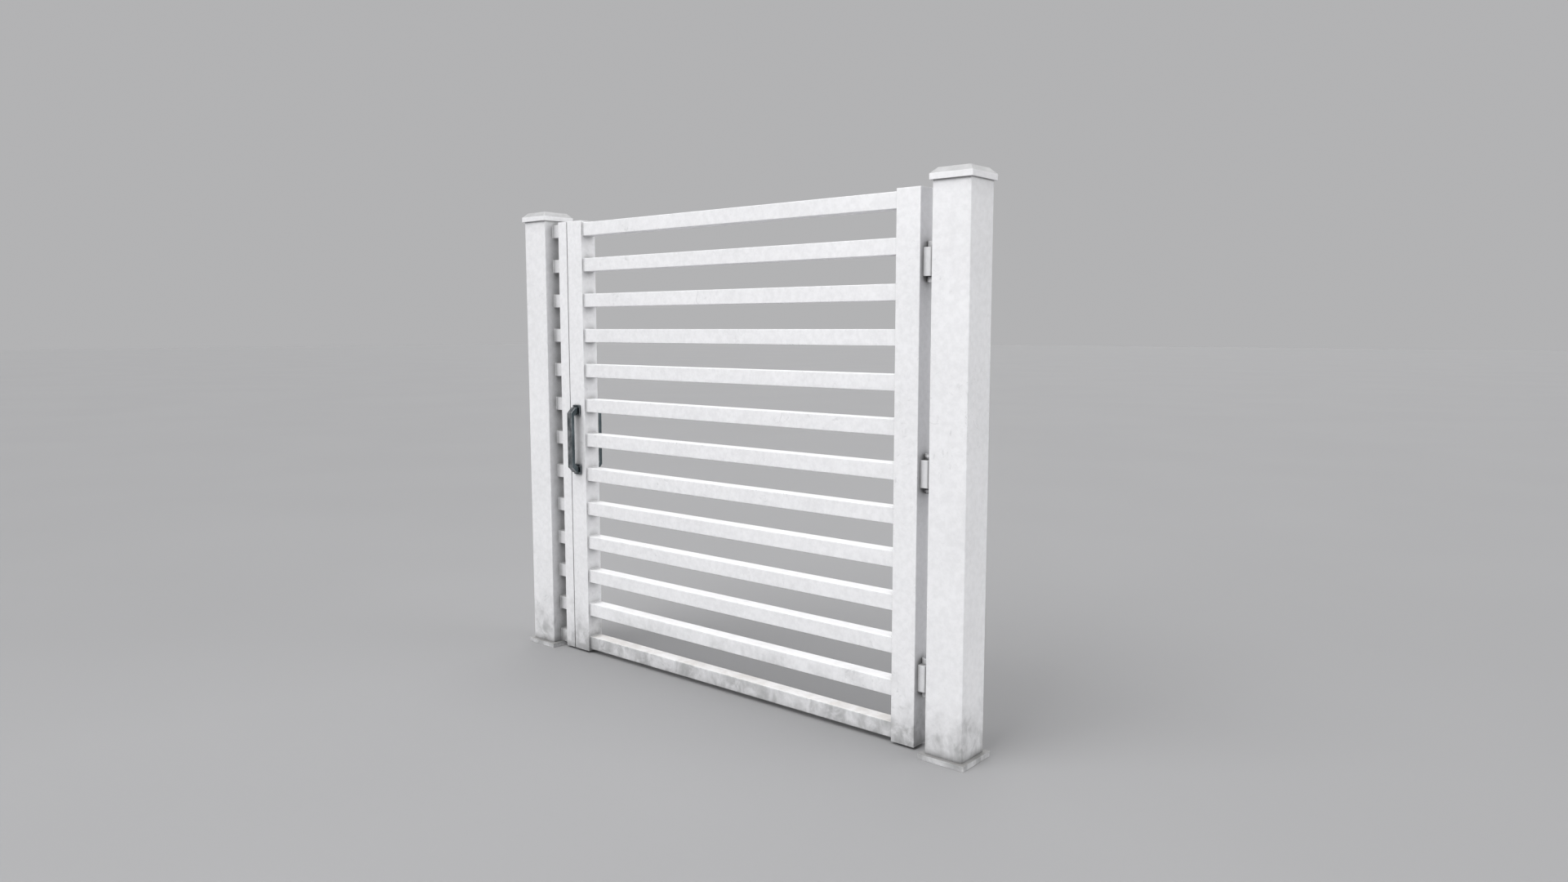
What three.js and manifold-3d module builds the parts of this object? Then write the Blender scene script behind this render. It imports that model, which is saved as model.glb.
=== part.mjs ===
// A white aluminium swing gate: thirteen horizontal rails between two stiles, hung on three
// hinges between two capped square posts, with a D-shaped pull on each face of the leaf.
// Millimetres. X runs along the gate from the latch post to the hinge post, Y runs through it
// and Z is up. The origin is on the ground, midway between the posts and on their centre line.

import * as THREE from 'three';
import { mergeVertices } from 'three/addons/utils/BufferGeometryUtils.js';
import Module from 'manifold-3d';

const wasm = await Module();
wasm.setup();

// Posts, with their caps and foot plates
const CLEAR_WIDTH = 1406;
const POST_SIZE = 100;
const POST_WALL = 3;
const FOOT_HEIGHT = 13;
const FOOT_OVERHANG = 12.5;
const SPIGOT_HEIGHT = 46;
const SPIGOT_WALL = 5;
const ANCHOR_RADIUS = 5.5;
const ANCHOR_OFFSET = 27;
const POST_TOP = 1353;
const CAP_OVERHANG = 6.5;
const CAP_RIM_HEIGHT = 14;
const CAP_SLOPE = 14;
const CAP_WALL = 3;
const CAP_SKIRT_DEPTH = 30;

// Gap between a piece and the hollow that it sits in
const FIT_GAP = 0.3;

// The leaf and the jamb share one height and one depth
const FRAME_BOTTOM = 7;
const FRAME_TOP = 1346;
const FRAME_DEPTH = 54;
const FRAME_WALL = 2.5;
const STILE_WIDTH = 67.5;
const JAMB_WIDTH = 40;
const SPACER_LENGTH = 36;
const JAMB_GAP = 2.5;
const HINGE_GAP = 46;

// Rails and spacers are the same square tube at the same heights
const RAIL_COUNT = 13;
const RAIL_SIZE = 40;
const RAIL_WALL = 2;
const RAIL_PITCH = 107.25;
const TOP_RAIL_CENTRE = 1320;

// Plugs in the open ends of the stiles and the jamb
const PLUG_FACE = 3;
const PLUG_DEPTH = 16;
const PLUG_WALL = 2.5;

// Hinges, with their pins behind the posts' centre line so that the leaf opens square to the rear
const HINGE_SPACING = 498;
const PIN_FROM_STILE = 12;
const PIN_BEHIND_CENTRE = 7;
const PIN_RADIUS = 4;
const PIN_HEAD_RADIUS = 6.5;
const PIN_HEAD_HEIGHT = 3;
const BLOCK_FRONT = 14;
const BLOCK_CORNER_RADIUS = 6;
const BLOCK_HALF_HEIGHT = 33.25;
const ARM_RADIUS = 11;
const ARM_INNER = 34;
const ARM_OUTER = 47.5;
const BRACKET_PLATE = 5;
const BRACKET_PLATE_WIDTH = 60;
const SCREW_HOLE_RADIUS = 3.2;
const SCREW_HOLE_Y = 22;
const SCREW_HOLE_Z = 20;

// Pull handles
const ROSE_SIZE = 32;
const ROSE_THICKNESS = 6;
const PULL_FOOT_SPACING = 184;
const PULL_LENGTH = 202;
const PULL_WIDTH = 20;
const PULL_REACH = 33.5;
const PULL_BAR_DEPTH = 13;
const PULL_FOOT_HEIGHT = 18;
const PULL_CHAMFER = 17;
const PULL_INNER_CHAMFER = 8;
const STUD_RADIUS = 4;
const STUD_IN_PULL = 16;

const ROUND_SEGMENTS = 32;

// How far a cutting solid runs past the face that it cuts
const CUT_MARGIN = 1;

// Places worked out from the sizes above
const postCentre = CLEAR_WIDTH / 2 + POST_SIZE / 2;
const postFace = CLEAR_WIDTH / 2;
const jambRight = -postFace + SPACER_LENGTH + JAMB_WIDTH;
const leafLeft = jambRight + JAMB_GAP;
const leafRight = postFace - HINGE_GAP;
const railLeft = leafLeft + STILE_WIDTH;
const railRight = leafRight - STILE_WIDTH;
const pinX = leafRight + PIN_FROM_STILE;
const frameMiddle = (FRAME_BOTTOM + FRAME_TOP) / 2;
const stileFace = FRAME_DEPTH / 2;
const pullX = leafLeft + STILE_WIDTH / 2;

const coat = new THREE.MeshStandardMaterial({ color: 0xecedf0, roughness: 0.42, metalness: 0 });
const hingeCoat = new THREE.MeshStandardMaterial({ color: 0xe6e7ea, roughness: 0.38, metalness: 0 });
const plugPlastic = new THREE.MeshStandardMaterial({ color: 0xe2e3e5, roughness: 0.55, metalness: 0 });
const satinSteel = new THREE.MeshStandardMaterial({ color: 0x8f979c, roughness: 0.28, metalness: 1 });
const pinSteel = new THREE.MeshStandardMaterial({ color: 0xa7aaad, roughness: 0.35, metalness: 1 });

const gate = new THREE.Group();
gate.name = 'swing_gate';

// A closed mesh as a solid for cutting and joining
function toSolid(geometry) {
  const bare = geometry.clone();
  bare.deleteAttribute('normal');
  bare.deleteAttribute('uv');
  const merged = mergeVertices(bare);
  return new wasm.Manifold(new wasm.Mesh({
    numProp: 3,
    vertProperties: new Float32Array(merged.attributes.position.array),
    triVerts: new Uint32Array(merged.index.array),
  }));
}

function toGeometry(solid) {
  const mesh = solid.getMesh();
  const indexed = new THREE.BufferGeometry();
  indexed.setAttribute('position', new THREE.BufferAttribute(mesh.vertProperties, 3));
  indexed.setIndex(new THREE.BufferAttribute(mesh.triVerts, 1));
  const geometry = indexed.toNonIndexed();
  geometry.computeVertexNormals();
  return geometry;
}

// A box between two corners
function box(low, high) {
  const size = high.map((value, i) => value - low[i]);
  const geometry = new THREE.BoxGeometry(size[0], size[1], size[2]);
  return geometry.translate(low[0] + size[0] / 2, low[1] + size[1] / 2, low[2] + size[2] / 2);
}

// A box that is centred on X and Y and rises from z
function upright(width, depth, z, height) {
  return box([-width / 2, -depth / 2, z], [width / 2, depth / 2, z + height]);
}

function roundBar(radius, z, height) {
  const geometry = new THREE.CylinderGeometry(radius, radius, height, ROUND_SEGMENTS);
  return geometry.rotateX(Math.PI / 2).translate(0, 0, z + height / 2);
}

// Turns a shape that stands along Z so that it lies along X or along Y
const alongX = new THREE.Matrix4().set(0, 0, 1, 0, 1, 0, 0, 0, 0, 1, 0, 0, 0, 0, 0, 1);
const alongY = new THREE.Matrix4().set(0, 1, 0, 0, 0, 0, 1, 0, 1, 0, 0, 0, 0, 0, 0, 1);

function rectangle(width, depth, PathType) {
  const path = new PathType();
  path.moveTo(-width / 2, -depth / 2);
  path.lineTo(width / 2, -depth / 2);
  path.lineTo(width / 2, depth / 2);
  path.lineTo(-width / 2, depth / 2);
  path.closePath();
  return path;
}

// A hollow rectangular tube that is open at both ends and stands on z = 0
function tube(width, depth, wall, length) {
  const outline = rectangle(width, depth, THREE.Shape);
  outline.holes.push(rectangle(width - 2 * wall, depth - 2 * wall, THREE.Path));
  return new THREE.ExtrudeGeometry(outline, { depth: length, bevelEnabled: false });
}

function add(name, geometry, material, x, y, z) {
  const mesh = new THREE.Mesh(geometry, material);
  mesh.name = name;
  mesh.position.set(x, y, z);
  gate.add(mesh);
}

const twoDigits = (number) => String(number).padStart(2, '0');

// Foot plate with a hollow spigot for the post and four anchor holes inside the spigot
function footGeometry() {
  const plateSize = POST_SIZE + 2 * FOOT_OVERHANG;
  const spigotSize = POST_SIZE - 2 * POST_WALL - 2 * FIT_GAP;
  const spigotBore = spigotSize - 2 * SPIGOT_WALL;
  let foot = toSolid(upright(plateSize, plateSize, 0, FOOT_HEIGHT))
    .add(toSolid(upright(spigotSize, spigotSize, 0, FOOT_HEIGHT + SPIGOT_HEIGHT)))
    .subtract(toSolid(upright(spigotBore, spigotBore, FOOT_HEIGHT, SPIGOT_HEIGHT + CUT_MARGIN)));
  for (const x of [-ANCHOR_OFFSET, ANCHOR_OFFSET]) {
    for (const y of [-ANCHOR_OFFSET, ANCHOR_OFFSET]) {
      const drill = roundBar(ANCHOR_RADIUS, -CUT_MARGIN, FOOT_HEIGHT + 2 * CUT_MARGIN).translate(x, y, 0);
      foot = foot.subtract(toSolid(drill));
    }
  }
  return toGeometry(foot);
}

// Cap with an upright rim, a 45 degree slope, a flat top and a skirt that drops into the post
function capGeometry() {
  const rimSize = POST_SIZE + 2 * CAP_OVERHANG;
  const topSize = rimSize - 2 * CAP_SLOPE;
  const skirtSize = POST_SIZE - 2 * POST_WALL - 2 * FIT_GAP;
  const hollowSize = skirtSize - 2 * CAP_WALL;
  const cornerRadius = (side) => side * Math.SQRT1_2;
  const slope = new THREE.CylinderGeometry(cornerRadius(topSize), cornerRadius(rimSize), CAP_SLOPE, 4)
    .rotateX(Math.PI / 2)
    .rotateZ(Math.PI / 4)
    .translate(0, 0, CAP_RIM_HEIGHT + CAP_SLOPE / 2);
  const domeSize = topSize - 2 * CAP_WALL;
  const domeTop = CAP_RIM_HEIGHT + CAP_SLOPE - 2 * CAP_WALL;
  const skirtBottom = -CAP_SKIRT_DEPTH - CUT_MARGIN;
  return toGeometry(toSolid(upright(rimSize, rimSize, 0, CAP_RIM_HEIGHT))
    .add(toSolid(slope))
    .add(toSolid(upright(skirtSize, skirtSize, -CAP_SKIRT_DEPTH, CAP_SKIRT_DEPTH + CAP_RIM_HEIGHT)))
    .subtract(toSolid(upright(hollowSize, hollowSize, skirtBottom, -skirtBottom)))
    .subtract(toSolid(upright(domeSize, domeSize, skirtBottom, domeTop - skirtBottom))));
}

function addPosts() {
  const postLength = POST_TOP - FOOT_HEIGHT;
  for (const [name, side] of [['latch', -1], ['hinge', 1]]) {
    const x = side * postCentre;
    add(`${name}_post_base`, footGeometry(), coat, x, 0, 0);
    add(`${name}_post`, tube(POST_SIZE, POST_SIZE, POST_WALL, postLength), coat, x, 0, FOOT_HEIGHT);
    add(`${name}_post_cap`, capGeometry(), coat, x, 0, POST_TOP);
  }
}

// A plug that sits flush inside a tube's end, its face at z = 0 and its skirt below
function plugGeometry(width, depth) {
  const outerWidth = width - 2 * FRAME_WALL - 2 * FIT_GAP;
  const outerDepth = depth - 2 * FRAME_WALL - 2 * FIT_GAP;
  const innerWidth = outerWidth - 2 * PLUG_WALL;
  const innerDepth = outerDepth - 2 * PLUG_WALL;
  const hollowBottom = -PLUG_DEPTH - CUT_MARGIN;
  const hollow = upright(innerWidth, innerDepth, hollowBottom, -PLUG_FACE - hollowBottom);
  return toGeometry(toSolid(upright(outerWidth, outerDepth, -PLUG_DEPTH, PLUG_DEPTH))
    .subtract(toSolid(hollow)));
}

function addPlugs(name, width, x) {
  add(`${name}_top_plug`, plugGeometry(width, FRAME_DEPTH), plugPlastic, x, 0, FRAME_TOP);
  const upsideDown = plugGeometry(width, FRAME_DEPTH).rotateX(Math.PI);
  add(`${name}_bottom_plug`, upsideDown, plugPlastic, x, 0, FRAME_BOTTOM);
}

function forEachRail(make) {
  for (let i = 0; i < RAIL_COUNT; i += 1) {
    make(twoDigits(i + 1), TOP_RAIL_CENTRE - i * RAIL_PITCH);
  }
}

// The fixed infill between the latch post and the leaf: a jamb on thirteen spacers
function addJamb() {
  const x = jambRight - JAMB_WIDTH / 2;
  const height = FRAME_TOP - FRAME_BOTTOM;
  add('strike_jamb', tube(JAMB_WIDTH, FRAME_DEPTH, FRAME_WALL, height), coat, x, 0, FRAME_BOTTOM);
  addPlugs('strike_jamb', JAMB_WIDTH, x);
  forEachRail((number, z) => {
    const spacer = tube(RAIL_SIZE, RAIL_SIZE, RAIL_WALL, SPACER_LENGTH).applyMatrix4(alongX);
    add(`spacer_${number}`, spacer, coat, -postFace, 0, z);
  });
}

function pullFootHeights() {
  return [['upper', frameMiddle + PULL_FOOT_SPACING / 2], ['lower', frameMiddle - PULL_FOOT_SPACING / 2]];
}

// The latch stile is drilled right through for the two studs that hold the pulls
function latchStileGeometry(height) {
  let stile = toSolid(tube(STILE_WIDTH, FRAME_DEPTH, FRAME_WALL, height));
  for (const [, z] of pullFootHeights()) {
    const drill = roundBar(STUD_RADIUS + FIT_GAP, -FRAME_DEPTH, 2 * FRAME_DEPTH)
      .applyMatrix4(alongY)
      .translate(0, 0, z - FRAME_BOTTOM);
    stile = stile.subtract(toSolid(drill));
  }
  return toGeometry(stile);
}

function addLeafFrame() {
  const height = FRAME_TOP - FRAME_BOTTOM;
  const hingeStileX = leafRight - STILE_WIDTH / 2;
  const hingeStile = tube(STILE_WIDTH, FRAME_DEPTH, FRAME_WALL, height);
  add('latch_stile', latchStileGeometry(height), coat, pullX, 0, FRAME_BOTTOM);
  add('hinge_stile', hingeStile, coat, hingeStileX, 0, FRAME_BOTTOM);
  addPlugs('latch_stile', STILE_WIDTH, pullX);
  addPlugs('hinge_stile', STILE_WIDTH, hingeStileX);
  forEachRail((number, z) => {
    const rail = tube(RAIL_SIZE, RAIL_SIZE, RAIL_WALL, railRight - railLeft).applyMatrix4(alongX);
    add(`rail_${number}`, rail, coat, railLeft, 0, z);
  });
}

// The block on the stile, seen from above with the pin at (0, 0): flat against the stile and in
// front, with a rounded front corner, and round about the pin behind
function hingeBlockOutline() {
  const front = -BLOCK_FRONT - PIN_BEHIND_CENTRE;
  const cornerX = ARM_RADIUS - BLOCK_CORNER_RADIUS;
  const cornerY = front + BLOCK_CORNER_RADIUS;
  const outline = new THREE.Shape();
  outline.moveTo(-PIN_FROM_STILE, front);
  outline.lineTo(cornerX, front);
  outline.absarc(cornerX, cornerY, BLOCK_CORNER_RADIUS, -Math.PI / 2, 0, false);
  outline.lineTo(ARM_RADIUS, 0);
  outline.absarc(0, 0, ARM_RADIUS, 0, Math.PI / 2, false);
  outline.lineTo(-PIN_FROM_STILE, ARM_RADIUS);
  outline.closePath();
  return outline;
}

function hingeBlockGeometry() {
  const block = new THREE.ExtrudeGeometry(hingeBlockOutline(), {
    depth: 2 * BLOCK_HALF_HEIGHT,
    bevelEnabled: false,
    curveSegments: ROUND_SEGMENTS / 4,
  }).translate(0, 0, -BLOCK_HALF_HEIGHT);
  return toGeometry(toSolid(block)
    .subtract(toSolid(roundBar(PIN_RADIUS + FIT_GAP, -ARM_OUTER, 2 * ARM_OUTER))));
}

// The fork on the post: a screwed plate with a round-ended arm above and below the block
function hingeBracketGeometry() {
  const plateBack = HINGE_GAP - PIN_FROM_STILE;
  const plateFront = plateBack - BRACKET_PLATE;
  let bracket = toSolid(box(
    [plateFront, -BRACKET_PLATE_WIDTH / 2, -ARM_OUTER],
    [plateBack, BRACKET_PLATE_WIDTH / 2, ARM_OUTER],
  ));
  for (const low of [ARM_INNER, -ARM_OUTER]) {
    const thickness = ARM_OUTER - ARM_INNER;
    bracket = bracket
      .add(toSolid(roundBar(ARM_RADIUS, low, thickness)))
      .add(toSolid(box([0, -ARM_RADIUS, low], [plateBack, ARM_RADIUS, low + thickness])));
  }
  for (const y of [-SCREW_HOLE_Y, SCREW_HOLE_Y]) {
    for (const z of [-SCREW_HOLE_Z, SCREW_HOLE_Z]) {
      const hole = roundBar(SCREW_HOLE_RADIUS, 0, 2 * plateBack).applyMatrix4(alongX).translate(0, y, z);
      bracket = bracket.subtract(toSolid(hole));
    }
  }
  const headBoreRadius = PIN_HEAD_RADIUS + FIT_GAP;
  const headBoreDepth = PIN_HEAD_HEIGHT + FIT_GAP;
  const headBore = roundBar(headBoreRadius, ARM_OUTER - headBoreDepth, headBoreDepth + CUT_MARGIN);
  const pinBore = roundBar(PIN_RADIUS + FIT_GAP, -ARM_OUTER - CUT_MARGIN, 2 * (ARM_OUTER + CUT_MARGIN));
  return toGeometry(bracket.subtract(toSolid(pinBore)).subtract(toSolid(headBore)));
}

function hingePinGeometry() {
  return toGeometry(toSolid(roundBar(PIN_RADIUS, -ARM_OUTER, 2 * ARM_OUTER))
    .add(toSolid(roundBar(PIN_HEAD_RADIUS, ARM_OUTER - PIN_HEAD_HEIGHT, PIN_HEAD_HEIGHT))));
}

function addHinges() {
  for (const [number, step] of [[1, 1], [2, 0], [3, -1]]) {
    const z = frameMiddle + step * HINGE_SPACING;
    add(`hinge_${number}_block`, hingeBlockGeometry(), hingeCoat, pinX, PIN_BEHIND_CENTRE, z);
    add(`hinge_${number}_bracket`, hingeBracketGeometry(), hingeCoat, pinX, PIN_BEHIND_CENTRE, z);
    add(`hinge_${number}_pin`, hingePinGeometry(), pinSteel, pinX, PIN_BEHIND_CENTRE, z);
  }
}

// The pull's side view: a bar with a foot at each end, chamfered outside and inside each corner.
// Its first coordinate is the distance out from the rose and its second is the height.
function pullOutline() {
  const reach = PULL_REACH - ROSE_THICKNESS;
  const inner = reach - PULL_BAR_DEPTH;
  const top = PULL_LENGTH / 2;
  const footBottom = top - PULL_FOOT_HEIGHT;
  const outline = new THREE.Shape();
  outline.moveTo(0, top);
  outline.lineTo(reach - PULL_CHAMFER, top);
  outline.lineTo(reach, top - PULL_CHAMFER);
  outline.lineTo(reach, PULL_CHAMFER - top);
  outline.lineTo(reach - PULL_CHAMFER, -top);
  outline.lineTo(0, -top);
  outline.lineTo(0, -footBottom);
  outline.lineTo(inner - PULL_INNER_CHAMFER, -footBottom);
  outline.lineTo(inner, PULL_INNER_CHAMFER - footBottom);
  outline.lineTo(inner, footBottom - PULL_INNER_CHAMFER);
  outline.lineTo(inner - PULL_INNER_CHAMFER, footBottom);
  outline.lineTo(0, footBottom);
  outline.closePath();
  return outline;
}

// The pull stands off along +Y from y = 0, with a blind bore for a stud in each foot
function pullSolid() {
  const bar = new THREE.ExtrudeGeometry(pullOutline(), { depth: PULL_WIDTH, bevelEnabled: false })
    .translate(0, 0, -PULL_WIDTH / 2)
    .applyMatrix4(alongX);
  let pull = toSolid(bar);
  for (const side of [-1, 1]) {
    const bore = roundBar(STUD_RADIUS + FIT_GAP, -CUT_MARGIN, STUD_IN_PULL + CUT_MARGIN + FIT_GAP)
      .applyMatrix4(alongY)
      .translate(0, 0, side * PULL_FOOT_SPACING / 2);
    pull = pull.subtract(toSolid(bore));
  }
  return pull;
}

function roseSolid() {
  const plate = box([-ROSE_SIZE / 2, 0, -ROSE_SIZE / 2], [ROSE_SIZE / 2, ROSE_THICKNESS, ROSE_SIZE / 2]);
  const bore = roundBar(STUD_RADIUS + FIT_GAP, -CUT_MARGIN, ROSE_THICKNESS + 2 * CUT_MARGIN)
    .applyMatrix4(alongY);
  return toSolid(plate).subtract(toSolid(bore));
}

function addPulls() {
  for (const [name, side] of [['front', -1], ['rear', 1]]) {
    const facing = [1, side, 1];
    const roseY = side * stileFace;
    const pullY = side * (stileFace + ROSE_THICKNESS);
    add(`${name}_pull`, toGeometry(pullSolid().scale(facing)), satinSteel, pullX, pullY, frameMiddle);
    for (const [place, z] of pullFootHeights()) {
      add(`${name}_pull_${place}_rose`, toGeometry(roseSolid().scale(facing)), satinSteel, pullX, roseY, z);
    }
  }
  const studHalf = stileFace + ROSE_THICKNESS + STUD_IN_PULL;
  for (const [place, z] of pullFootHeights()) {
    const stud = roundBar(STUD_RADIUS, -studHalf, 2 * studHalf).applyMatrix4(alongY);
    add(`pull_${place}_bolt`, stud, pinSteel, pullX, 0, z);
  }
}

addPosts();
addJamb();
addLeafFrame();
addHinges();
addPulls();

export default gate;
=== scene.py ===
import math

import bmesh
import bpy
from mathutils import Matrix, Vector


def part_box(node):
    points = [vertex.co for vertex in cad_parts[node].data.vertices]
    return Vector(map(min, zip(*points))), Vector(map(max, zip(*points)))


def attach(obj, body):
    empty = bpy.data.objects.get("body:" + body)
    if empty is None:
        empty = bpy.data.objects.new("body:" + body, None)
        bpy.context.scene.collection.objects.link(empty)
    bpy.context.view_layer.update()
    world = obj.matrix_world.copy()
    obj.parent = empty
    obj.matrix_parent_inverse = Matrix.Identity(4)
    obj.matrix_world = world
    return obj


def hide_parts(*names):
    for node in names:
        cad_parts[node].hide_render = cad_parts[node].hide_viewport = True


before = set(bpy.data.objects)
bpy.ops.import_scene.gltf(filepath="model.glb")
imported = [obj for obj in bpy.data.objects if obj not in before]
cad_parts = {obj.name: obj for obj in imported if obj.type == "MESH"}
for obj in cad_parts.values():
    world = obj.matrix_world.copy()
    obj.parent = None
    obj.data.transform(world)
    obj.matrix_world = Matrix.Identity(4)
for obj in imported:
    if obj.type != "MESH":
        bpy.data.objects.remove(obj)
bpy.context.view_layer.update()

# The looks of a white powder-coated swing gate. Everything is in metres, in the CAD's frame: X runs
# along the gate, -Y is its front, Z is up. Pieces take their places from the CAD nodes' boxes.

POSTS = "posts"
LEAF = "leaf"
RAIL_NUMBERS = [f"{number:02d}" for number in range(1, 14)]

# Camera
CAMERA_PLACE = (2.0213, -2.1399, 1.0187)
CAMERA_YAW = 40.036
CAMERA_TILT_DOWN = 6.0
CAMERA_LENS_MM = 24.463
SENSOR_WIDTH_MM = 36.0

# Walls and edges of the tubes, which repeat the CAD's
POST_WALL = 0.003
FRAME_WALL = 0.0025
RAIL_WALL = 0.002
POST_CORNER = 0.0022
FRAME_CORNER = 0.0018
RAIL_CORNER = 0.0016
LEAST_INNER_CORNER = 0.0006
RIM_BEVEL = 0.0004

# How far from an edge the wear on it fades out, and how far the painted shade in inner corners and
# narrow gaps reaches
WEAR_SHOULDER = 0.005
CORNER_SHADE_REACH = 0.045

# How finely round shapes are cut, how close points are when they count as one, and how far a drill
# goes past the surface
CORNER_STEPS = 5
ROUND_POINTS = 36
MERGE_DISTANCE = 0.00001
DRILL_PAST = 0.001

# Foot plates, with a spigot inside the post, and caps, with a skirt inside it
FIT_GAP = 0.0003
INNER_CORNER = 0.001
FOOT_OVERHANG = 0.0125
FOOT_CORNER = 0.0015
FOOT_EDGE = 0.0007
FOOT_FACE_MARGIN = 0.006
SPIGOT_WALL = 0.005
SPIGOT_CORNER = 0.002
ANCHOR_HOLE_RADIUS = 0.0055
ANCHOR_SPACING = 0.054
CAP_OVERHANG = 0.0065
CAP_RIM_HEIGHT = 0.014
CAP_SLOPE = 0.014
CAP_CORNER = 0.0022
CAP_EDGE = 0.0009
CAP_WALL = 0.003
CAP_SKIRT_DEPTH = 0.03

# Plugs
PLUG_SKIRT_WALL = 0.0025
PLUG_FACE = 0.003
PLUG_DISH = 0.0006
PLUG_BORDER = 0.005
PLUG_CORNER = 0.0015
PLUG_DISH_CORNER = 0.003
PLUG_BORDER_CORNER = 0.0035
PLUG_EDGE = 0.0004

# Hinges
PIN_RADIUS = 0.004
PIN_TIP_CHAMFER = 0.0008
PIN_HEAD_RADIUS = 0.0065
PIN_HEAD_HEIGHT = 0.003
PIN_HEAD_CHAMFER = 0.0005
PIN_SOCKET = 0.0025
PIN_SOCKET_CHAMFER = 0.0003
PIN_SOCKET_WALL = 0.002
PIN_SOCKET_DEPTH = 0.0024
BLOCK_CORNER = 0.006
BLOCK_EDGE = 0.001
ARM_RADIUS = 0.011
ARM_THICKNESS = 0.0135
ARM_SINK = 0.002
BRACKET_PLATE = 0.005
BRACKET_PLATE_CORNER = 0.006
BRACKET_EDGE = 0.0007
BRACKET_SCREW_Y = 0.022
BRACKET_SCREW_Z = 0.020
SCREW_HEAD_RADIUS = 0.0055
SCREW_HEAD_HEIGHT = 0.003
SCREW_SINK = 0.0005
SCREW_SOCKET = 0.0022
WASHER_RADIUS = 0.0098
FLAT_MARGIN = 0.002

# Pulls
PULL_BAR_DEPTH = 0.013
PULL_FOOT_HEIGHT = 0.018
PULL_CHAMFER = 0.017
PULL_INNER_CHAMFER = 0.008
PULL_EDGE = 0.0012
ROSE_CORNER = 0.002
ROSE_EDGE = 0.0009

# Welds
WELD_LEG = 0.0019
WELD_RIPPLE = 0.0042
WELD_STEP = 0.0009
WELD_SINK = 0.0004

# Colours of the surfaces, as linear red, green and blue
COAT_WHITE = (0.80, 0.80, 0.815)
HINGE_WHITE = (0.77, 0.77, 0.785)
PLUG_WHITE = (0.58, 0.585, 0.595)
# Grime near the ground, also the grey of the painted shade on the caps' slopes and tops
GRIME_AND_SHADE_GREY = (0.36, 0.362, 0.365)
# The grey of the painted shade in inner corners, narrow gaps and at the posts' feet
PAINTED_SHADE_GREY = (0.15, 0.15, 0.148)
SCUFF_GREY = (0.42, 0.425, 0.435)
DUST_TAN = (0.60, 0.545, 0.48)
BARE_METAL = (0.50, 0.505, 0.515)
SLATE_STEEL = (0.080, 0.098, 0.106)
ZINC_STEEL = (0.52, 0.53, 0.545)
NYLON_GREY = (0.045, 0.046, 0.048)
FLOOR_GREY = (0.285, 0.285, 0.29)
BACKDROP_GREY = (0.449, 0.449, 0.456)

# Studio
FLOOR_HALF_SIZE = 60.0
WORLD_FILL = 0.42


# ---------------------------------------------------------------- camera, floor and light

def make_camera():
    """The camera, where the photographed gate is seen from."""
    data = bpy.data.cameras.new("camera")
    data.sensor_width = SENSOR_WIDTH_MM
    data.lens = CAMERA_LENS_MM
    data.clip_start = 0.05
    data.clip_end = 200.0
    camera = bpy.data.objects.new("camera", data)
    camera.location = CAMERA_PLACE
    camera.rotation_euler = (math.radians(90 - CAMERA_TILT_DOWN), 0, math.radians(CAMERA_YAW))
    bpy.context.collection.objects.link(camera)
    bpy.context.scene.camera = camera


def make_sun(name, direction, strength, angle):
    """A soft light from far away. Direction is the way that its light travels."""
    data = bpy.data.lights.new(name, "SUN")
    data.energy = strength
    data.angle = math.radians(angle)
    sun = bpy.data.objects.new(name, data)
    sun.rotation_euler = Vector(direction).to_track_quat("-Z", "Y").to_euler()
    bpy.context.collection.objects.link(sun)


def make_softbox(name, place, target, size, power):
    """A square light panel that the camera doesn't see."""
    data = bpy.data.lights.new(name, "AREA")
    data.energy = power
    data.size = size
    softbox = bpy.data.objects.new(name, data)
    softbox.location = place
    aim = Vector(target) - Vector(place)
    softbox.rotation_euler = aim.to_track_quat("-Z", "Y").to_euler()
    softbox.visible_camera = False
    bpy.context.collection.objects.link(softbox)


def make_world():
    """An even white fill that the camera sees as a plain backdrop."""
    world = bpy.data.worlds.new("studio")
    world.use_nodes = True
    nodes = world.node_tree.nodes
    links = world.node_tree.links
    fill = nodes["Background"]
    fill.inputs["Color"].default_value = (1.0, 1.0, 1.01, 1.0)
    fill.inputs["Strength"].default_value = WORLD_FILL
    seen = nodes.new("ShaderNodeBackground")
    seen.inputs["Color"].default_value = (*BACKDROP_GREY, 1.0)
    seen.inputs["Strength"].default_value = 1.0
    rays = nodes.new("ShaderNodeLightPath")
    mix = nodes.new("ShaderNodeMixShader")
    links.new(rays.outputs["Is Camera Ray"], mix.inputs[0])
    links.new(fill.outputs[0], mix.inputs[1])
    links.new(seen.outputs[0], mix.inputs[2])
    links.new(mix.outputs[0], nodes["World Output"].inputs["Surface"])
    bpy.context.scene.world = world


# ---------------------------------------------------------------- material nodes

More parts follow.
